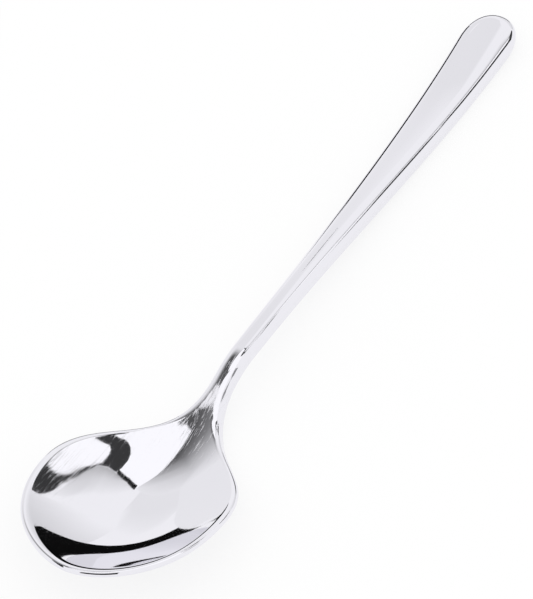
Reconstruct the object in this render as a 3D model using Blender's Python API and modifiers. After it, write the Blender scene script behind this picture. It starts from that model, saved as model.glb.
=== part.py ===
"""Yogurt spoon: one piece of polished stainless steel, pressed from a flat blank.

The blank has a plan outline and a rolled thickness. The die gives it the dished bowl,
the rising neck and the slightly crowned handle. Metres, +Z up, lying at rest on a table.
"""

import math

import bmesh
import bpy
import numpy as np

# Plan outline of one half, x from the bowl's tip to the handle's end, y from the axis.
LENGTH = 0.170
TIP_ROUNDING = 0.0046
BOWL_WIDEST_AT = 0.0227
BOWL_HALF_WIDTH = 0.0180
BOWL_FRONT_REACH = 0.0177
BOWL_BACK_REACH = 0.0152
NECK_AT = 0.0544
NECK_HALF_WIDTH = 0.0021
NECK_FRONT_REACH = 0.0158
NECK_BACK_REACH = 0.0371
HANDLE_END_AT = 0.1617
HANDLE_END_HALF_WIDTH = 0.00565
HANDLE_FLARE = 0.05
HANDLE_FRONT_REACH = 0.0444
HANDLE_END_REACH = 0.0053
END_ROUNDING = 0.0036

# Side profile along the middle of the upper face, z measured from the bowl's tip.
TIP_SLOPE = 0.56
TIP_REACH = 0.0085
BOWL_DEEPEST_AT = 0.0228
BOWL_DEPTH = 0.0065
DEEP_FRONT_REACH = 0.0106
DEEP_BACK_REACH = 0.0255
CREST_AT = 0.0625
CREST_RISE = 0.0028
CREST_SLOPE = 0.051
CREST_FRONT_REACH = 0.0120
CREST_BACK_REACH = 0.0473
END_RISE = 0.0109
END_SLOPE = 0.249
END_REACH = 0.0274

# Dish across the bowl: its curvature in 1/m, and how the wall eases outwards near the rim, in 1/m3.
BOWL_DISH = 25.4
BACK_DISH = 20.8
DISH_OPENS_FROM = 0.010
DISH_OPENS_TO = 0.040
RIM_EASING = 12200.0
DISH_FADES_FROM = 0.038
DISH_FADES_TO = 0.0567

# Crown across the handle's upper face, its curvature in 1/m.
HANDLE_CROWN = 10.0
CROWN_STARTS = 0.058
CROWN_FULL = 0.090

# Thickness of the steel.
BOWL_GAUGE = 0.00146
NECK_GAUGE = 0.0031
HANDLE_GAUGE = 0.00356
END_GAUGE = 0.0033
GAUGE_GROWS_FROM = 0.024
GAUGE_AT_NECK = 0.050
GAUGE_AT_CREST = 0.058
GAUGE_AT_MIDDLE = 0.122

# Rolled-over edge, and the tilt that brings the bowl and the handle down on the table.
EDGE_RADIUS = 0.0007
EDGE_BAND = 0.0010
REST_TILT = math.atan(0.0997)

# How finely the sheet is divided.
TIP_COLUMNS = 15
SHOULDER_COLUMNS = 17
HANDLE_COLUMNS = 24
END_COLUMNS = 8
SHEET_ROWS = 8
TIP_POLE = 0.009
END_POLE = 0.0045
FINE_STEPS = 200

STEEL_COLOUR = (0.77, 0.77, 0.78, 1.0)
STEEL_ROUGHNESS = 0.08


def clear_scene():
    for old in list(bpy.data.objects):
        bpy.data.objects.remove(old, do_unlink=True)


def arc(start, start_handle, end_handle, end, count):
    """Points along one cubic curve, from its start to its end."""
    t = np.linspace(0.0, 1.0, count)[:, None]
    corners = [np.array(corner) for corner in (start, start_handle, end_handle, end)]
    near = (1 - t) ** 3 * corners[0] + 3 * (1 - t) ** 2 * t * corners[1]
    far = 3 * (1 - t) * t**2 * corners[2] + t**3 * corners[3]
    return near + far


def join(arcs):
    """One line from several curves that follow each other."""
    pieces = [piece[:-1] for piece in arcs[:-1]]
    return np.vstack(pieces + [arcs[-1]])


def plan_outline(tip_count, shoulder_count, handle_count, end_count):
    """Half of the blank's outline: round the bowl, in to the neck, out to the handle's end."""
    tip = (0.0, 0.0)
    widest = (BOWL_WIDEST_AT, BOWL_HALF_WIDTH)
    neck = (NECK_AT, NECK_HALF_WIDTH)
    flare = (HANDLE_END_AT, HANDLE_END_HALF_WIDTH)
    end = (LENGTH, 0.0)
    bowl_front = arc(
        tip,
        (0.0, TIP_ROUNDING),
        (BOWL_WIDEST_AT - BOWL_FRONT_REACH, BOWL_HALF_WIDTH),
        widest,
        tip_count,
    )
    shoulder = arc(
        widest,
        (BOWL_WIDEST_AT + BOWL_BACK_REACH, BOWL_HALF_WIDTH),
        (NECK_AT - NECK_FRONT_REACH, NECK_HALF_WIDTH),
        neck,
        shoulder_count,
    )
    handle = arc(
        neck,
        (NECK_AT + NECK_BACK_REACH, NECK_HALF_WIDTH),
        (
            HANDLE_END_AT - HANDLE_FRONT_REACH,
            HANDLE_END_HALF_WIDTH - HANDLE_FLARE * HANDLE_FRONT_REACH,
        ),
        flare,
        handle_count,
    )
    handle_end = arc(
        flare,
        (
            HANDLE_END_AT + HANDLE_END_REACH,
            HANDLE_END_HALF_WIDTH + HANDLE_FLARE * HANDLE_END_REACH,
        ),
        (LENGTH, END_ROUNDING),
        end,
        end_count,
    )
    return join([bowl_front, shoulder, handle, handle_end])


def middle_profile():
    """Side view along the middle: down into the bowl, up the neck, handle turned up at its end."""
    tip = (0.0, 0.0)
    deepest = (BOWL_DEEPEST_AT, -BOWL_DEPTH)
    crest = (CREST_AT, CREST_RISE)
    end = (LENGTH, END_RISE)
    bowl = arc(
        tip,
        (TIP_REACH, -TIP_SLOPE * TIP_REACH),
        (BOWL_DEEPEST_AT - DEEP_FRONT_REACH, -BOWL_DEPTH),
        deepest,
        FINE_STEPS,
    )
    neck = arc(
        deepest,
        (BOWL_DEEPEST_AT + DEEP_BACK_REACH, -BOWL_DEPTH),
        (CREST_AT - CREST_FRONT_REACH, CREST_RISE - CREST_SLOPE * CREST_FRONT_REACH),
        crest,
        FINE_STEPS,
    )
    handle = arc(
        crest,
        (CREST_AT + CREST_BACK_REACH, CREST_RISE + CREST_SLOPE * CREST_BACK_REACH),
        (LENGTH - END_REACH, END_RISE - END_SLOPE * END_REACH),
        end,
        FINE_STEPS,
    )
    return join([bowl, neck, handle])


def ease(start, end, x):
    """Rises smoothly from 0 at start to 1 at end."""
    t = np.clip((x - start) / (end - start), 0.0, 1.0)
    return t**3 * (10 - 15 * t + 6 * t**2)


def gauge(x):
    """Thickness of the steel along the spoon."""
    to_neck = (NECK_GAUGE - BOWL_GAUGE) * ease(GAUGE_GROWS_FROM, GAUGE_AT_NECK, x)
    to_middle = (HANDLE_GAUGE - NECK_GAUGE) * ease(GAUGE_AT_CREST, GAUGE_AT_MIDDLE, x)
    to_end = (END_GAUGE - HANDLE_GAUGE) * ease(GAUGE_AT_MIDDLE, LENGTH, x)
    return BOWL_GAUGE + to_neck + to_middle + to_end


def dish_share(x):
    """1 in the bowl, fading to 0 at the neck."""
    return 1.0 - ease(DISH_FADES_FROM, DISH_FADES_TO, x)


def hollow(x):
    """Curvature across the spoon: a dish in the bowl, flat at the neck, a crown on the handle."""
    dish = BOWL_DISH + (BACK_DISH - BOWL_DISH) * ease(DISH_OPENS_FROM, DISH_OPENS_TO, x)
    return dish * dish_share(x) - HANDLE_CROWN * ease(CROWN_STARTS, CROWN_FULL, x)


def die_height(x, y):
    """Height of the upper face over any point of the blank."""
    profile = middle_profile()
    middle = np.interp(x, profile[:, 0], profile[:, 1])
    return middle + hollow(x) * y**2 - RIM_EASING * dish_share(x) * y**4


def blank_points():
    """The half blank as columns from the axis out to the outline, with an even band along the edge."""
    outline = plan_outline(TIP_COLUMNS, SHOULDER_COLUMNS, HANDLE_COLUMNS, END_COLUMNS)
    axis_x = np.clip(outline[:, 0], TIP_POLE, LENGTH - END_POLE)
    axis = np.column_stack([axis_x, np.zeros(len(axis_x))])
    across = outline - axis
    width = np.linalg.norm(across, axis=1)
    inner = np.linspace(0.0, 1.0, SHEET_ROWS - 1)[:, None] * (1 - EDGE_BAND / width)
    share = np.vstack([inner, np.ones(len(width))])
    return axis[None, :, :] + share[:, :, None] * across[None, :, :]


def sheet_mesh():
    """The upper face of half the spoon: a grid laid on the blank and pressed by the die."""
    points = blank_points()
    rows, columns = points.shape[:2]
    height = die_height(points[:, :, 0], points[:, :, 1])
    sheet = bmesh.new()
    bmesh.ops.create_grid(sheet, x_segments=columns - 1, y_segments=rows - 1, size=0.5)
    for vertex in sheet.verts:
        column = round((vertex.co.x + 0.5) * (columns - 1))
        row = round((vertex.co.y + 0.5) * (rows - 1))
        vertex.co = (*points[row, column], height[row, column])
    bmesh.ops.remove_doubles(sheet, verts=sheet.verts, dist=1e-6)
    mesh = bpy.data.meshes.new("spoon")
    sheet.to_mesh(mesh)
    sheet.free()
    return mesh


def steel():
    material = bpy.data.materials.new("polished_steel")
    material.use_nodes = True
    surface = material.node_tree.nodes["Principled BSDF"]
    surface.inputs["Base Color"].default_value = STEEL_COLOUR
    surface.inputs["Metallic"].default_value = 1.0
    surface.inputs["Roughness"].default_value = STEEL_ROUGHNESS
    material.diffuse_color = STEEL_COLOUR
    return material


def set_gauge(spoon):
    """Gives each point of the sheet its share of the greatest thickness."""
    group = spoon.vertex_groups.new(name="gauge")
    for vertex in spoon.data.vertices:
        group.add([vertex.index], float(gauge(vertex.co.x)) / HANDLE_GAUGE, "REPLACE")


def add_modifiers(spoon):
    mirror = spoon.modifiers.new("other_half", "MIRROR")
    mirror.use_axis = (False, True, False)
    mirror.merge_threshold = 0.00001
    thickness = spoon.modifiers.new("thickness", "SOLIDIFY")
    thickness.thickness = HANDLE_GAUGE
    thickness.offset = -1.0
    thickness.vertex_group = "gauge"
    thickness.use_even_offset = True
    thickness.use_quality_normals = True
    edge = spoon.modifiers.new("rounded_edge", "BEVEL")
    edge.width = EDGE_RADIUS
    edge.segments = 3
    edge.limit_method = "ANGLE"
    edge.angle_limit = math.radians(50)


def finished_corners(spoon):
    """Lowest and highest corner of the finished solid as it stands in the scene."""
    solid = spoon.evaluated_get(bpy.context.evaluated_depsgraph_get())
    corners = np.array([tuple(solid.matrix_world @ vertex.co) for vertex in solid.data.vertices])
    return corners.min(axis=0), corners.max(axis=0)


def lay_down(spoon):
    """Tips the spoon on to its bowl and handle, over the origin, with the table at z = 0."""
    spoon.rotation_euler.y = REST_TILT
    low, high = finished_corners(spoon)
    spoon.location = (-(low[0] + high[0]) / 2, 0.0, -low[2])


def build_spoon(collection):
    mesh = sheet_mesh()
    mesh.materials.append(steel())
    spoon = bpy.data.objects.new("spoon", mesh)
    collection.objects.link(spoon)
    set_gauge(spoon)
    add_modifiers(spoon)
    lay_down(spoon)
    mesh.shade_smooth()
    return spoon


def main():
    clear_scene()
    collection = bpy.data.collections.new("yogurt_spoon")
    bpy.context.scene.collection.children.link(collection)
    build_spoon(collection)


main()
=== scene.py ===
"""Looks of the yogurt spoon: mirror-polished stainless steel on a white table, in a white studio.

The spoon's form is worked out from the dimensions of its CAD solid, with a fine mesh, fuller
rolled edges, a slightly wider handle end and a gentler slope at the bowl's tip. Metres, in the
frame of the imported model.
"""

import math

import bmesh
import bpy
import numpy as np
from mathutils import Matrix, Vector


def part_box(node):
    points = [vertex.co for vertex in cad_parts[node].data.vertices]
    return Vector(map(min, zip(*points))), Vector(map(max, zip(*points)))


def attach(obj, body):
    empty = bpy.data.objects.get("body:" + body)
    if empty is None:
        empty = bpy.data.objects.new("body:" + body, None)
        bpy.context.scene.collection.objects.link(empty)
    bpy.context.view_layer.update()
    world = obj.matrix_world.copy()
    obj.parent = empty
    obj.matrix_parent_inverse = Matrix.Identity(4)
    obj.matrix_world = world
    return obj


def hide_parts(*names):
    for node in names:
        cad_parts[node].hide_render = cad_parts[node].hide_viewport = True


# Plan outline of one half, x from the bowl's tip to the handle's end, y from the axis.
LENGTH = 0.16998
TIP_ROUNDING = 0.0046
BOWL_WIDEST_AT = 0.0227
BOWL_HALF_WIDTH = 0.0180
BOWL_FRONT_REACH = 0.0177
BOWL_BACK_REACH = 0.0152
NECK_AT = 0.0544
NECK_HALF_WIDTH = 0.0021
NECK_FRONT_REACH = 0.0158
NECK_BACK_REACH = 0.0371
HANDLE_END_AT = 0.1617
HANDLE_END_HALF_WIDTH = 0.0059
HANDLE_FLARE = 0.05
HANDLE_FRONT_REACH = 0.0444
HANDLE_END_REACH = 0.0053
END_ROUNDING = 0.0036

# Side profile along the middle of the upper face, z measured from the bowl's tip.
TIP_SLOPE = 0.52
TIP_REACH = 0.0085
BOWL_DEEPEST_AT = 0.0228
BOWL_DEPTH = 0.0065
DEEP_FRONT_REACH = 0.0106
DEEP_BACK_REACH = 0.0255
CREST_AT = 0.0625
CREST_RISE = 0.0028
CREST_SLOPE = 0.051
CREST_FRONT_REACH = 0.0120
CREST_BACK_REACH = 0.0473
END_RISE = 0.0109
END_SLOPE = 0.249
END_REACH = 0.0274

# Dish across the bowl: its curvature in 1/m, and how the wall eases outwards near the rim, in 1/m3.
BOWL_DISH = 25.4
BACK_DISH = 20.8
DISH_OPENS_FROM = 0.010
DISH_OPENS_TO = 0.040
RIM_EASING = 12200.0
DISH_FADES_FROM = 0.038
DISH_FADES_TO = 0.0567

# Crown across the handle's upper face, its curvature in 1/m.
HANDLE_CROWN = 10.0
CROWN_STARTS = 0.058
CROWN_FULL = 0.090

# Thickness of the steel.
BOWL_GAUGE = 0.00146
NECK_GAUGE = 0.0031
HANDLE_GAUGE = 0.00356
END_GAUGE = 0.0033
GAUGE_GROWS_FROM = 0.024
GAUGE_AT_NECK = 0.050
GAUGE_AT_CREST = 0.058
GAUGE_AT_MIDDLE = 0.122

# Rolled edges: how far the upper face rolls off inwards of the outline and how deep, then the
# small rounding underneath.
TIP_ROLL = 0.0015
RIM_ROLL = 0.0010
NECK_ROLL = 0.0017
HANDLE_ROLL = 0.0027
RIM_DROP = 0.00068
HANDLE_DROP = 0.0018
ROLL_FULLNESS = 2.2
UNDER_RIM = 0.00076
UNDER_HANDLE = 0.0007

# Where along the spoon the roll's width and depth change, measured like the outline.
TIP_ROLL_TO = 0.002
RIM_ROLL_FROM = 0.014
RIM_ROLL_TO = 0.040
NECK_ROLL_FROM = 0.048
NECK_ROLL_TO = 0.060
HANDLE_ROLL_FROM = 0.110
RIM_DROP_TO = 0.032
HANDLE_DROP_FROM = 0.058

# The tilt that brings the bowl and the handle down on the table.
REST_TILT = math.atan(0.0997)

# How finely the spoon is divided.
COLUMNS = 380
UPPER_ROWS = 30
BAND_ROWS = 6
EDGE_ROWS = 22
UNDER_EDGE_ROWS = 7
SIDE_ROWS = 3
LOWER_ROWS = 20
EDGE_BAND = 0.0003
TIP_POLE = 0.009
END_POLE = 0.0045
FINE_STEPS = 2000
SLOPE_STEP = 0.00005
RUN_ON = 0.002
WELD_DISTANCE = 1e-7
SEAM_DISTANCE = 1e-6

# Steel: its colour, the polishing lines, and where along and across the spoon they show.
STEEL_COLOUR = (0.845, 0.838, 0.887, 1.0)
LINE_STRETCH = (70.0, 4200.0, 1500.0)
LINE_DETAIL = 3.0
LINE_ROUGHNESS = 0.6
LINE_DEPTH = 0.000003
HEEL_STARTS = (-0.056, -0.042)
HEEL_ENDS = (-0.034, -0.022)
BOWL_ENDS = (-0.050, -0.035)
FAR_WALL_STARTS = (0.003, 0.011)
FAR_WALL_SHARE = 0.25
SCRATCH_LINES = (0.50, 0.72)
SCRATCH_ROUGHNESS = 0.36
POLISH_LINES = (0.3, 0.7)
POLISH_ROUGHNESS = (0.025, 0.04)

# Camera, as distances in metres and angles in degrees about the point it looks at.
CAMERA_AIM = Vector((-0.00406, 0.00614, 0.0))
CAMERA_DISTANCE = 0.60685
CAMERA_ELEVATION = 44.525
CAMERA_HEADING = 32.907
CAMERA_ROLL = -5.658
CAMERA_SENSOR = 36.0
CAMERA_LENS = 191.68
CAMERA_NEAR_CLIP = 0.01

# White table and surround.
FLOOR_SIZE = 8.0
FLOOR_WHITE = 0.25
FLOOR_GLOW = 0.75
WHITE = (1.0, 1.0, 1.0, 1.0)

# Distances of the studio's cards from the bowl, and their light.
BOWL_CENTRE = Vector((-0.0620, 0.0, 0.0070))
NEAR_DISTANCE = 0.35
CARD_DISTANCE = 0.70
CARD_STEP = 0.08
PANEL_DISTANCE = 3.5
FAR_DISTANCE = 5.5
LAMP_LIGHT = 1.13
PANEL_LIGHT = 0.925
NECK_PANEL_LIGHT = 1.0
FLAG_LIGHT = 0.004
FRAME_LIGHT = 0.045
NEAR_HEEL_LIGHT = 0.1
NECK_LIGHT = 0.3

# Corners of the studio's cards as seen from the bowl: degrees from straight up, first towards
# the handle's end, then towards the far side.
WIDE_LAMP = [
    (39.3, 13.2), (36.0, 18.0), (33.0, 20.8), (27.0, 22.6), (20.7, 22.9), (13.5, 21.8), (3.0, 20.0),
    (1.0, 10.0), (2.0, -10.0), (6.0, -28.0), (26.0, -28.0), (38.5, -9.0), (38.3, -2.8), (38.3, 5.5),
]
SLIM_LAMP = [
    (54.5, -20.9), (51.6, -18.9), (48.5, -16.9), (45.1, -14.3), (42.0, -11.8), (40.5, -10.5), (37.4, -10.1),
    (35.5, -10.6), (34.6, -11.8), (36.3, -14.3), (39.0, -18.0), (44.0, -21.5), (50.0, -23.0),
]
DARK_FRAME = [
    (64.0, -16.6), (57.0, -17.3), (52.7, -17.7), (49.3, -16.6), (44.7, -13.4), (41.6, -11.1), (39.7, -7.8),
    (38.9, -3.2), (36.6, -2.0), (34.0, -1.8), (31.6, -2.8), (29.8, -4.8), (28.8, -7.0), (28.7, -9.0),
    (29.6, -10.8), (32.0, -18.0), (50.4, -19.5), (50.8, -33.0), (60.0, -36.0), (70.0, -20.0),
]
DARK_BAR = [(38.3, 13.4), (39.6, 13.4), (38.9, 5.5), (39.0, -2.8), (37.8, -2.8), (37.7, 5.5)]
NEAR_HEEL_FLAG = [(13.6, 21.8), (11.8, 17.5), (13.7, 12.8), (11.5, 12.0), (8.6, 16.5), (6.0, 20.7)]
NECK_CARD = [(15.0, -40.0), (20.0, -36.0), (24.0, -48.0), (29.0, -58.0), (24.0, -62.0), (17.0, -55.0)]
NECK_PANEL = [(28.0, -23.0), (48.8, -23.0), (48.8, -40.0), (28.0, -40.0)]
HANDLE_FLAG = [(32.0, -18.0), (44.4, -22.0), (44.4, -36.0), (32.0, -34.0)]
LOW_FLAG = [(70.5, 42.3), (65.4, 51.1), (77.2, 60.3), (84.0, 50.5)]
CAMERA_FLAG = [(-48.0, 1.0), (-42.0, -26.0), (-77.0, -44.5), (-89.0, 1.5)]
FAR_FLAG = [(4.0, 28.0), (-15.0, 27.0), (-62.0, 33.0), (-66.0, 42.0), (-20.0, 40.0), (3.0, 34.0)]
SIDE_PANEL = [(31.0, 34.0), (63.0, 71.0), (10.0, 95.0), (-40.0, 80.0), (0.0, 45.0)]

# Cards with a soft light: lines of corners in the same degrees, each line with its light.
SOFT_SHADE = [
    (0.50, [(38.9, -1.0), (39.2, -4.5), (39.9, -7.8), (41.6, -10.9), (44.0, -13.0)]),
    (0.78, [(38.8, 4.0), (41.0, -3.0), (42.3, -7.0), (44.5, -10.3), (49.3, -16.6)]),
    (1.00, [(39.5, 13.2), (44.0, -0.5), (46.2, -6.5), (50.0, -10.8), (60.0, -16.8)]),
]
HEEL_SHADE = [
    (0.08, [(5.0, 20.5), (12.0, 22.0), (16.0, 22.6), (20.0, 23.0), (24.0, 22.9), (27.0, 22.6)]),
    (0.22, [(3.0, 25.0), (9.0, 28.0), (14.0, 30.0), (20.0, 30.5), (26.0, 29.0), (31.0, 21.8)]),
    (0.45, [(2.0, 29.0), (8.0, 33.0), (14.0, 36.0), (21.0, 37.0), (29.0, 34.5), (34.0, 20.2)]),
    (0.68, [(1.0, 35.0), (8.0, 41.0), (15.0, 45.0), (22.0, 46.0), (32.0, 41.0), (36.0, 18.0)]),
    (0.92, [(0.0, 42.0), (8.0, 53.0), (16.0, 58.0), (25.0, 57.0), (40.0, 42.0), (39.0, 14.0)]),
]
LEFT_SHADE = [
    (1.00, [(54.0, 24.0), (54.0, 0.0), (56.0, -10.0), (60.0, -15.0)]),
    (0.91, [(66.0, 24.0), (64.0, 0.0), (63.0, -10.0), (64.0, -17.5)]),
    (0.70, [(92.0, 24.0), (90.0, 0.0), (87.0, -12.0), (80.0, -26.0)]),
]
HANDLE_PANEL = [
    (1.00, [(33.0, 17.5), (46.0, 17.5), (56.0, 26.0), (58.0, 42.0), (53.0, 54.0)]),
    (0.89, [(33.0, 18.5), (42.0, 18.5), (44.0, 24.0), (45.0, 40.0), (45.0, 54.0)]),
    (0.90, [(33.0, 28.0), (36.0, 28.0), (38.0, 30.0), (38.0, 40.0), (39.0, 52.0)]),
]

# The table's far edge, close behind the spoon, and a low dark wall beyond it: bearings in degrees
# from the handle's direction, and the wall's height in even steps across.
TABLE_EDGE = 0.035
WALL_CENTRE = Vector((-0.0654, -0.0120, 0.0))
WALL_DISTANCE = 4.0
WALL_BEARINGS = (1.9, 48.45)
WALL_HEIGHTS = [0.42, 0.553, 0.637, 0.698, 0.725, 0.705, 0.63, 0.472, 0.21]
WALL_FOOT = -1.0


def arc(start, start_handle, end_handle, end):
    """Points along one cubic curve, from its start to its end."""
    t = np.linspace(0.0, 1.0, FINE_STEPS)[:, None]
    corners = [np.array(corner) for corner in (start, start_handle, end_handle, end)]
    near = (1 - t) ** 3 * corners[0] + 3 * (1 - t) ** 2 * t * corners[1]
    far = 3 * (1 - t) * t**2 * corners[2] + t**3 * corners[3]
    return near + far


def join(arcs):
    """One line from several curves that follow each other."""
    pieces = [piece[:-1] for piece in arcs[:-1]]
    return np.vstack(pieces + [arcs[-1]])


def plan_outline():
    """Half of the blank's outline: round the bowl, in to the neck, out to the handle's end."""
    tip = (0.0, 0.0)
    widest = (BOWL_WIDEST_AT, BOWL_HALF_WIDTH)
    neck = (NECK_AT, NECK_HALF_WIDTH)
    flare = (HANDLE_END_AT, HANDLE_END_HALF_WIDTH)
    end = (LENGTH, 0.0)
    bowl_front = arc(
        tip,
        (0.0, TIP_ROUNDING),
        (BOWL_WIDEST_AT - BOWL_FRONT_REACH, BOWL_HALF_WIDTH),
        widest,
    )
    shoulder = arc(
        widest,
        (BOWL_WIDEST_AT + BOWL_BACK_REACH, BOWL_HALF_WIDTH),
        (NECK_AT - NECK_FRONT_REACH, NECK_HALF_WIDTH),
        neck,
    )
    handle = arc(
        neck,
        (NECK_AT + NECK_BACK_REACH, NECK_HALF_WIDTH),
        (
            HANDLE_END_AT - HANDLE_FRONT_REACH,
            HANDLE_END_HALF_WIDTH - HANDLE_FLARE * HANDLE_FRONT_REACH,
        ),
        flare,
    )
    handle_end = arc(
        flare,
        (
            HANDLE_END_AT + HANDLE_END_REACH,
            HANDLE_END_HALF_WIDTH + HANDLE_FLARE * HANDLE_END_REACH,
        ),
        (LENGTH, END_ROUNDING),
        end,
    )
    return join([bowl_front, shoulder, handle, handle_end])


def even_outline():
    """The outline in even steps along its length, and its outward direction at each of them."""
    line = plan_outline()
    travelled = np.append(0.0, np.cumsum(np.linalg.norm(np.diff(line, axis=0), axis=1)))
    stops = np.linspace(0.0, travelled[-1], COLUMNS)
    points = np.column_stack([np.interp(stops, travelled, line[:, side]) for side in (0, 1)])
    along = np.gradient(points, axis=0)
    along[0] = (0.0, 1.0)
    along[-1] = (0.0, -1.0)
    along /= np.linalg.norm(along, axis=1)[:, None]
    outward = np.column_stack([-along[:, 1], along[:, 0]])
    return points, outward


def middle_profile():
    """Side view along the middle, running on straight past the tip and the handle's end."""
    before = (-RUN_ON, TIP_SLOPE * RUN_ON)
    tip = (0.0, 0.0)
    deepest = (BOWL_DEEPEST_AT, -BOWL_DEPTH)
    crest = (CREST_AT, CREST_RISE)
    end = (LENGTH, END_RISE)
    after = (LENGTH + RUN_ON, END_RISE + END_SLOPE * RUN_ON)
    bowl = arc(
        tip,
        (TIP_REACH, -TIP_SLOPE * TIP_REACH),
        (BOWL_DEEPEST_AT - DEEP_FRONT_REACH, -BOWL_DEPTH),
        deepest,
    )
    neck = arc(
        deepest,
        (BOWL_DEEPEST_AT + DEEP_BACK_REACH, -BOWL_DEPTH),
        (CREST_AT - CREST_FRONT_REACH, CREST_RISE - CREST_SLOPE * CREST_FRONT_REACH),
        crest,
    )
    handle = arc(
        crest,
        (CREST_AT + CREST_BACK_REACH, CREST_RISE + CREST_SLOPE * CREST_BACK_REACH),
        (LENGTH - END_REACH, END_RISE - END_SLOPE * END_REACH),
        end,
    )
    return np.vstack([[before], join([bowl, neck, handle]), [after]])


PROFILE = middle_profile()


def ease(start, end, x):
    """Rises smoothly from 0 at start to 1 at end."""
    t = np.clip((x - start) / (end - start), 0.0, 1.0)
    return t**3 * (10 - 15 * t + 6 * t**2)


def gauge(x):
    """Thickness of the steel along the spoon."""
    to_neck = (NECK_GAUGE - BOWL_GAUGE) * ease(GAUGE_GROWS_FROM, GAUGE_AT_NECK, x)
    to_middle = (HANDLE_GAUGE - NECK_GAUGE) * ease(GAUGE_AT_CREST, GAUGE_AT_MIDDLE, x)
    to_end = (END_GAUGE - HANDLE_GAUGE) * ease(GAUGE_AT_MIDDLE, LENGTH, x)
    return BOWL_GAUGE + to_neck + to_middle + to_end


def roll_width(x):
    """How far in from the outline the upper face starts to roll off."""
    to_side = (RIM_ROLL - TIP_ROLL) * ease(TIP_ROLL_TO, RIM_ROLL_FROM, x)
    to_neck = (NECK_ROLL - RIM_ROLL) * ease(RIM_ROLL_TO, NECK_ROLL_FROM, x)
    to_handle = (HANDLE_ROLL - NECK_ROLL) * ease(NECK_ROLL_TO, HANDLE_ROLL_FROM, x)
    return TIP_ROLL + to_side + to_neck + to_handle


def bowl_to_handle(bowl, handle, x):
    """A measure that grows from its value round the bowl to its value along the handle."""
    return bowl + (handle - bowl) * ease(RIM_DROP_TO, HANDLE_DROP_FROM, x)


def dish_share(x):
    """1 in the bowl, fading to 0 at the neck."""
    return 1.0 - ease(DISH_FADES_FROM, DISH_FADES_TO, x)


def hollow(x):
    """Curvature across the spoon: a dish in the bowl, flat at the neck, a crown on the handle."""
    dish = BOWL_DISH + (BACK_DISH - BOWL_DISH) * ease(DISH_OPENS_FROM, DISH_OPENS_TO, x)
    return dish * dish_share(x) - HANDLE_CROWN * ease(CROWN_STARTS, CROWN_FULL, x)


def die_height(x, y):
    """Height of the upper face over any point of the blank."""
    middle = np.interp(x, PROFILE[:, 0], PROFILE[:, 1])
    return middle + hollow(x) * y**2 - RIM_EASING * dish_share(x) * y**4


def on_die(plan):
    """Points of the upper face over points of the blank."""
    return np.dstack([plan, die_height(plan[..., 0], plan[..., 1])])


def unit(vectors):
    """The vectors at length 1."""
    return vectors / np.linalg.norm(vectors, axis=-1)[..., None]


def die_normal(plan):
    """Upward normal of the upper face over points of the blank."""
    x, y = plan[..., 0], plan[..., 1]
    slope_x = (die_height(x + SLOPE_STEP, y) - die_height(x - SLOPE_STEP, y)) / (2 * SLOPE_STEP)
    slope_y = (die_height(x, y + SLOPE_STEP) - die_height(x, y - SLOPE_STEP)) / (2 * SLOPE_STEP)
    return unit(np.dstack([-slope_x, -slope_y, np.ones_like(x)]))


def from_axis(points, outward, width, count):
    """Plan rows from the axis out to where the edge rolls off, closer together along the edge."""
    axis_x = np.clip(points[:, 0], TIP_POLE, LENGTH - END_POLE)
    axis = np.column_stack([axis_x, np.zeros(len(axis_x))])
    band = points - (width + EDGE_BAND)[:, None] * outward
    inner = [axis + share * (band - axis) for share in np.linspace(0.0, 1.0, count)]
    inset = [width + EDGE_BAND * share for share in np.linspace(1.0, 0.0, BAND_ROWS)[1:]]
    outer = [points - distance[:, None] * outward for distance in inset]
    return np.array(inner + outer)


def roll_off(points, outward, width, count):
    """Plan rows across a rolled edge, and the share of its depth that each has dropped."""
    turns = np.linspace(0.0, math.pi / 2, count + 1)[1:]
    inset = 1 - np.sin(turns) ** (2 / ROLL_FULLNESS)
    dropped = 1 - np.abs(np.cos(turns)) ** (2 / ROLL_FULLNESS)
    plan = [points - (share * width)[:, None] * outward for share in inset]
    return np.array(plan), dropped[:, None]


def below_die(plan, depth):
    """Points at a depth below the upper face, square to it."""
    return on_die(plan) - depth[..., None] * die_normal(plan)


def section_rows():
    """All rows of half the spoon: upper face, rolled edge, cut side, lower edge and underside."""
    points, outward = even_outline()
    x = points[:, 0]
    width = roll_width(x)
    drop = bowl_to_handle(RIM_DROP, HANDLE_DROP, x)
    under = bowl_to_handle(UNDER_RIM, UNDER_HANDLE, x)
    upper = on_die(from_axis(points, outward, width, UPPER_ROWS))
    roll_plan, rolled = roll_off(points, outward, width, EDGE_ROWS)
    upper_edge = below_die(roll_plan, rolled * drop)
    under_plan, turned = roll_off(points, outward, under, UNDER_EDGE_ROWS)
    lower_edge = below_die(under_plan, gauge(under_plan[..., 0]) - turned * under)
    lower_plan = from_axis(points, outward, under, LOWER_ROWS)
    underside = below_die(lower_plan, gauge(lower_plan[..., 0]))
    shares = np.linspace(0.0, 1.0, SIDE_ROWS + 2)[1:-1]
    side = np.array([upper_edge[-1] + share * (lower_edge[-1] - upper_edge[-1]) for share in shares])
    return np.concatenate([upper, upper_edge, side, lower_edge[::-1], underside[::-1]])


def lay_down(points):
    """Tips the spoon on to its bowl and handle, where its CAD solid lies."""
    x, y, z = points[..., 0], points[..., 1], points[..., 2]
    tipped_x = math.cos(REST_TILT) * x + math.sin(REST_TILT) * z
    tipped_z = math.cos(REST_TILT) * z - math.sin(REST_TILT) * x
    cad_low, cad_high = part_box("spoon")
    middle = (cad_low.x + cad_high.x) / 2
    own_middle = (tipped_x.min() + tipped_x.max()) / 2
    return np.dstack([tipped_x + middle - own_middle, y, tipped_z + cad_low.z - tipped_z.min()])


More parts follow.
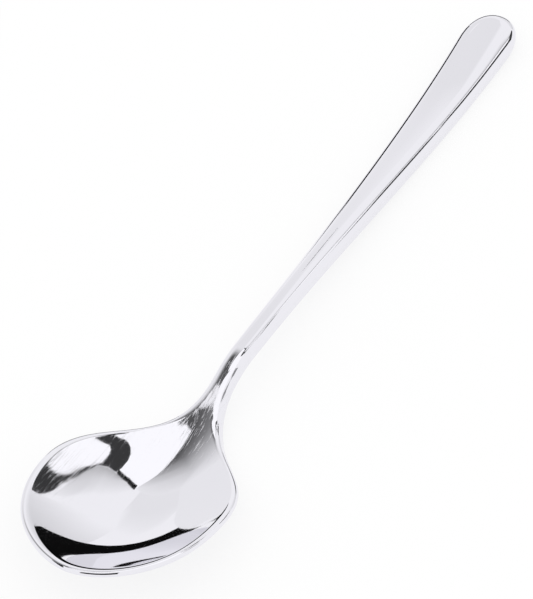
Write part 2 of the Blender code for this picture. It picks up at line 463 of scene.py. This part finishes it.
def spoon_mesh():
    """Half the spoon as one grid, from the middle of the upper face round to the middle underneath."""
    points = lay_down(section_rows())
    rows, columns = points.shape[:2]
    points[0, :, 1] = 0.0
    points[-1, :, 1] = 0.0
    points[:, 0, 1] = 0.0
    points[:, -1, 1] = 0.0
    number = np.arange(rows * columns).reshape(rows, columns)
    corners = [number[:-1, :-1], number[:-1, 1:], number[1:, 1:], number[1:, :-1]]
    faces = np.stack([corner.ravel() for corner in corners], axis=1)
    mesh = bpy.data.meshes.new("spoon_steel")
    mesh.from_pydata(points.reshape(-1, 3).tolist(), [], faces.tolist())
    half = bmesh.new()
    half.from_mesh(mesh)
    bmesh.ops.remove_doubles(half, verts=half.verts, dist=WELD_DISTANCE)
    bmesh.ops.recalc_face_normals(half, faces=half.faces)
    half.to_mesh(mesh)
    half.free()
    mesh.shade_smooth()
    return mesh


def build_spoon(material):
    """The pressed spoon in one piece of steel."""
    mesh = spoon_mesh()
    mesh.materials.append(material)
    spoon = bpy.data.objects.new("spoon_steel", mesh)
    bpy.context.scene.collection.objects.link(spoon)
    mirror = spoon.modifiers.new("other_half", "MIRROR")
    mirror.use_axis = (False, True, False)
    mirror.merge_threshold = SEAM_DISTANCE
    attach(spoon, "root")
    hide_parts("spoon")
    return spoon


def between(nodes, links, value, source, target):
    """A value carried smoothly from one range to another."""
    node = nodes.new("ShaderNodeMapRange")
    node.interpolation_type = "SMOOTHSTEP"
    node.inputs["From Min"].default_value = source[0]
    node.inputs["From Max"].default_value = source[1]
    node.inputs["To Min"].default_value = target[0]
    node.inputs["To Max"].default_value = target[1]
    links.new(value, node.inputs["Value"])
    return node.outputs["Result"]


def combined(nodes, links, operation, first, second):
    """Two values joined by one step of arithmetic."""
    node = nodes.new("ShaderNodeMath")
    node.operation = operation
    links.new(first, node.inputs[0])
    links.new(second, node.inputs[1])
    return node.outputs["Value"]


def hairlines(nodes, links, place):
    """Fine lines along the spoon, as polishing leaves them."""
    mapping = nodes.new("ShaderNodeMapping")
    mapping.inputs["Scale"].default_value = LINE_STRETCH
    links.new(place, mapping.inputs["Vector"])
    noise = nodes.new("ShaderNodeTexNoise")
    noise.inputs["Scale"].default_value = 1.0
    noise.inputs["Detail"].default_value = LINE_DETAIL
    noise.inputs["Roughness"].default_value = LINE_ROUGHNESS
    links.new(mapping.outputs["Vector"], noise.inputs["Vector"])
    return noise.outputs["Fac"]


def polishing_wear(nodes, links, place):
    """How strongly the polishing lines show: fully in the heel, a little on the bowl's far wall."""
    axes = nodes.new("ShaderNodeSeparateXYZ")
    links.new(place, axes.inputs["Vector"])
    into_heel = between(nodes, links, axes.outputs["X"], HEEL_STARTS, (0.0, 1.0))
    out_of_heel = between(nodes, links, axes.outputs["X"], HEEL_ENDS, (1.0, 0.0))
    heel = combined(nodes, links, "MULTIPLY", into_heel, out_of_heel)
    far_wall = between(nodes, links, axes.outputs["Y"], FAR_WALL_STARTS, (0.0, FAR_WALL_SHARE))
    in_bowl = between(nodes, links, axes.outputs["X"], BOWL_ENDS, (1.0, 0.0))
    far_side = combined(nodes, links, "MULTIPLY", far_wall, in_bowl)
    return combined(nodes, links, "MAXIMUM", heel, far_side)


def steel():
    """Mirror-polished stainless steel; the polishing lines show most in the heel of the bowl."""
    material = bpy.data.materials.new("polished_steel")
    material.use_nodes = True
    nodes = material.node_tree.nodes
    links = material.node_tree.links
    surface = nodes["Principled BSDF"]
    surface.inputs["Base Color"].default_value = STEEL_COLOUR
    surface.inputs["Metallic"].default_value = 1.0
    place = nodes.new("ShaderNodeTexCoord").outputs["Object"]
    lines = hairlines(nodes, links, place)
    wear = polishing_wear(nodes, links, place)
    scratched = between(nodes, links, lines, SCRATCH_LINES, (0.0, SCRATCH_ROUGHNESS))
    scratches = combined(nodes, links, "MULTIPLY", scratched, wear)
    polish = between(nodes, links, lines, POLISH_LINES, POLISH_ROUGHNESS)
    roughness = combined(nodes, links, "ADD", scratches, polish)
    links.new(roughness, surface.inputs["Roughness"])
    relief = combined(nodes, links, "MULTIPLY", lines, wear)
    bump = nodes.new("ShaderNodeBump")
    bump.inputs["Strength"].default_value = 1.0
    bump.inputs["Distance"].default_value = LINE_DEPTH
    links.new(relief, bump.inputs["Height"])
    links.new(bump.outputs["Normal"], surface.inputs["Normal"])
    return material


def card_material(name):
    """A surface with a light of its own, and the node that holds the light."""
    material = bpy.data.materials.new(name)
    material.use_nodes = True
    nodes = material.node_tree.nodes
    nodes.clear()
    glow = nodes.new("ShaderNodeEmission")
    output = nodes.new("ShaderNodeOutputMaterial")
    material.node_tree.links.new(glow.outputs["Emission"], output.inputs["Surface"])
    return material, glow


def add_card(name, corners, light, faces=None):
    """A card of the studio that only the steel's reflections show, lit evenly or corner by corner."""
    mesh = bpy.data.meshes.new(name)
    mesh.from_pydata(corners, [], faces or [list(range(len(corners)))])
    material, glow = card_material(name)
    if isinstance(light, list):
        mesh.attributes.new("light", "FLOAT", "POINT").data.foreach_set("value", light)
        level = material.node_tree.nodes.new("ShaderNodeAttribute")
        level.attribute_name = "light"
        material.node_tree.links.new(level.outputs["Fac"], glow.inputs["Strength"])
    else:
        glow.inputs["Strength"].default_value = light
    mesh.materials.append(material)
    card = bpy.data.objects.new(name, mesh)
    bpy.context.scene.collection.objects.link(card)
    card.visible_camera = False
    card.visible_diffuse = False
    card.visible_shadow = False


def seen_from_bowl(corners, distance):
    """Points at a distance from the bowl, from their degrees ahead and aside of straight up."""
    points = []
    for ahead, aside in corners:
        lean = math.radians(math.hypot(ahead, aside))
        bearing = math.atan2(aside, ahead)
        flat = math.sin(lean) * Vector((math.cos(bearing), math.sin(bearing), 0.0))
        points.append(BOWL_CENTRE + distance * (flat + Vector((0.0, 0.0, math.cos(lean)))))
    return points


def band_faces(count, bands=1):
    """Faces of the bands between rows of points."""
    starts = [band * count + place for band in range(bands) for place in range(count - 1)]
    return [(start, start + 1, start + count + 1, start + count) for start in starts]


def build_wall():
    """The low dark wall as a curved band."""
    top = []
    foot = []
    for bearing, height in zip(np.linspace(*WALL_BEARINGS, len(WALL_HEIGHTS)), WALL_HEIGHTS):
        turn = math.radians(bearing)
        place = WALL_CENTRE + WALL_DISTANCE * Vector((math.cos(turn), math.sin(turn), 0.0))
        foot.append(place + Vector((0.0, 0.0, WALL_FOOT)))
        top.append(place + Vector((0.0, 0.0, height)))
    add_card("dark_wall", top + foot, FLAG_LIGHT, band_faces(len(top)))


def add_shade(name, rows, distance):
    """A card whose light runs smoothly from one line of corners to the next."""
    corners = [corner for light, line in rows for corner in line]
    lights = [light for light, line in rows for corner in line]
    faces = band_faces(len(rows[0][1]), len(rows) - 1)
    add_card(name, seen_from_bowl(corners, distance), lights, faces)


def build_cards():
    """Lamps, flags and panels round the spoon, the ones in front nearer to it."""
    cards = [
        ("wide_lamp", WIDE_LAMP, CARD_DISTANCE + CARD_STEP, LAMP_LIGHT),
        ("slim_lamp", SLIM_LAMP, CARD_DISTANCE - CARD_STEP, LAMP_LIGHT),
        ("dark_frame", DARK_FRAME, CARD_DISTANCE, FRAME_LIGHT),
        ("dark_bar", DARK_BAR, CARD_DISTANCE, FLAG_LIGHT),
        ("near_heel_flag", NEAR_HEEL_FLAG, CARD_DISTANCE, NEAR_HEEL_LIGHT),
        ("neck_card", NECK_CARD, CARD_DISTANCE, NECK_LIGHT),
        ("neck_panel", NECK_PANEL, NEAR_DISTANCE, NECK_PANEL_LIGHT),
        ("handle_flag", HANDLE_FLAG, PANEL_DISTANCE, FRAME_LIGHT),
        ("low_flag", LOW_FLAG, NEAR_DISTANCE, FLAG_LIGHT),
        ("camera_flag", CAMERA_FLAG, CARD_DISTANCE, FLAG_LIGHT),
        ("far_flag", FAR_FLAG, CARD_DISTANCE, FLAG_LIGHT),
        ("side_panel", SIDE_PANEL, PANEL_DISTANCE, PANEL_LIGHT),
    ]
    for name, corners, distance, light in cards:
        add_card(name, seen_from_bowl(corners, distance), light)
    add_shade("heel_shade", HEEL_SHADE, CARD_DISTANCE)
    add_shade("soft_shade", SOFT_SHADE, CARD_DISTANCE + CARD_STEP / 2)
    add_shade("left_shade", LEFT_SHADE, FAR_DISTANCE)
    add_shade("handle_panel", HANDLE_PANEL, PANEL_DISTANCE)
    build_wall()


def floor_material():
    """White table: lit and shadowed as a matt surface, with a share of its white of its own."""
    material = bpy.data.materials.new("white_table")
    material.use_nodes = True
    nodes = material.node_tree.nodes
    links = material.node_tree.links
    nodes.clear()
    matt = nodes.new("ShaderNodeBsdfDiffuse")
    matt.inputs["Color"].default_value = (FLOOR_WHITE, FLOOR_WHITE, FLOOR_WHITE, 1.0)
    path = nodes.new("ShaderNodeLightPath")
    seen = combined(nodes, links, "ADD", path.outputs["Is Camera Ray"], path.outputs["Is Glossy Ray"])
    shown = combined(nodes, links, "ADD", seen, path.outputs["Is Transmission Ray"])
    glow = nodes.new("ShaderNodeEmission")
    links.new(between(nodes, links, shown, (0.0, 1.0), (0.0, FLOOR_GLOW)), glow.inputs["Strength"])
    both = nodes.new("ShaderNodeAddShader")
    output = nodes.new("ShaderNodeOutputMaterial")
    links.new(matt.outputs["BSDF"], both.inputs[0])
    links.new(glow.outputs["Emission"], both.inputs[1])
    links.new(both.outputs["Shader"], output.inputs["Surface"])
    return material


def add_floor(name, near, far, material):
    """A part of the white floor, from its near side to its far side."""
    half = FLOOR_SIZE / 2
    mesh = bpy.data.meshes.new(name)
    corners = [(-half, near, 0.0), (half, near, 0.0), (half, far, 0.0), (-half, far, 0.0)]
    mesh.from_pydata(corners, [], [(0, 1, 2, 3)])
    mesh.materials.append(material)
    floor = bpy.data.objects.new(name, mesh)
    bpy.context.scene.collection.objects.link(floor)
    return floor


def build_floor():
    """White table under the spoon; behind its edge a white backdrop that the steel doesn't mirror."""
    material = floor_material()
    add_floor("table", -FLOOR_SIZE / 2, TABLE_EDGE, material)
    backdrop = add_floor("backdrop", TABLE_EDGE, FLOOR_SIZE / 2, material)
    backdrop.visible_glossy = False


def build_world():
    """Even white light from all round."""
    world = bpy.data.worlds.new("white_studio")
    world.use_nodes = True
    world.node_tree.nodes["Background"].inputs["Color"].default_value = WHITE
    world.node_tree.nodes["Background"].inputs["Strength"].default_value = 1.0
    bpy.context.scene.world = world


def build_camera():
    """Camera at the photograph's viewing angle, looking at a point on the table."""
    elevation = math.radians(CAMERA_ELEVATION)
    heading = math.radians(CAMERA_HEADING)
    forward = Vector((
        math.cos(elevation) * math.cos(heading),
        math.cos(elevation) * math.sin(heading),
        -math.sin(elevation),
    ))
    data = bpy.data.cameras.new("camera")
    data.sensor_width = CAMERA_SENSOR
    data.lens = CAMERA_LENS
    data.clip_start = CAMERA_NEAR_CLIP
    camera = bpy.data.objects.new("camera", data)
    bpy.context.scene.collection.objects.link(camera)
    level = forward.to_track_quat("-Z", "Y").to_matrix().to_4x4()
    roll = Matrix.Rotation(math.radians(CAMERA_ROLL), 4, "Z")
    place = Matrix.Translation(CAMERA_AIM - CAMERA_DISTANCE * forward)
    camera.matrix_world = place @ level @ roll
    bpy.context.scene.camera = camera


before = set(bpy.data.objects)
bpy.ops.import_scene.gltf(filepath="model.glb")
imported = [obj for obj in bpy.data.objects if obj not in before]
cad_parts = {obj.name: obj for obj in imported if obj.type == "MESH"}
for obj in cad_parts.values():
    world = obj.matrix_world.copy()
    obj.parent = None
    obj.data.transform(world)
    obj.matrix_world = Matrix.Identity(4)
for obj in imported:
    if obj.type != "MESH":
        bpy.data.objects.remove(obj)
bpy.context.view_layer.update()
bpy.context.scene.view_settings.view_transform = "Standard"
build_camera()
build_world()
build_floor()
build_cards()
build_spoon(steel())
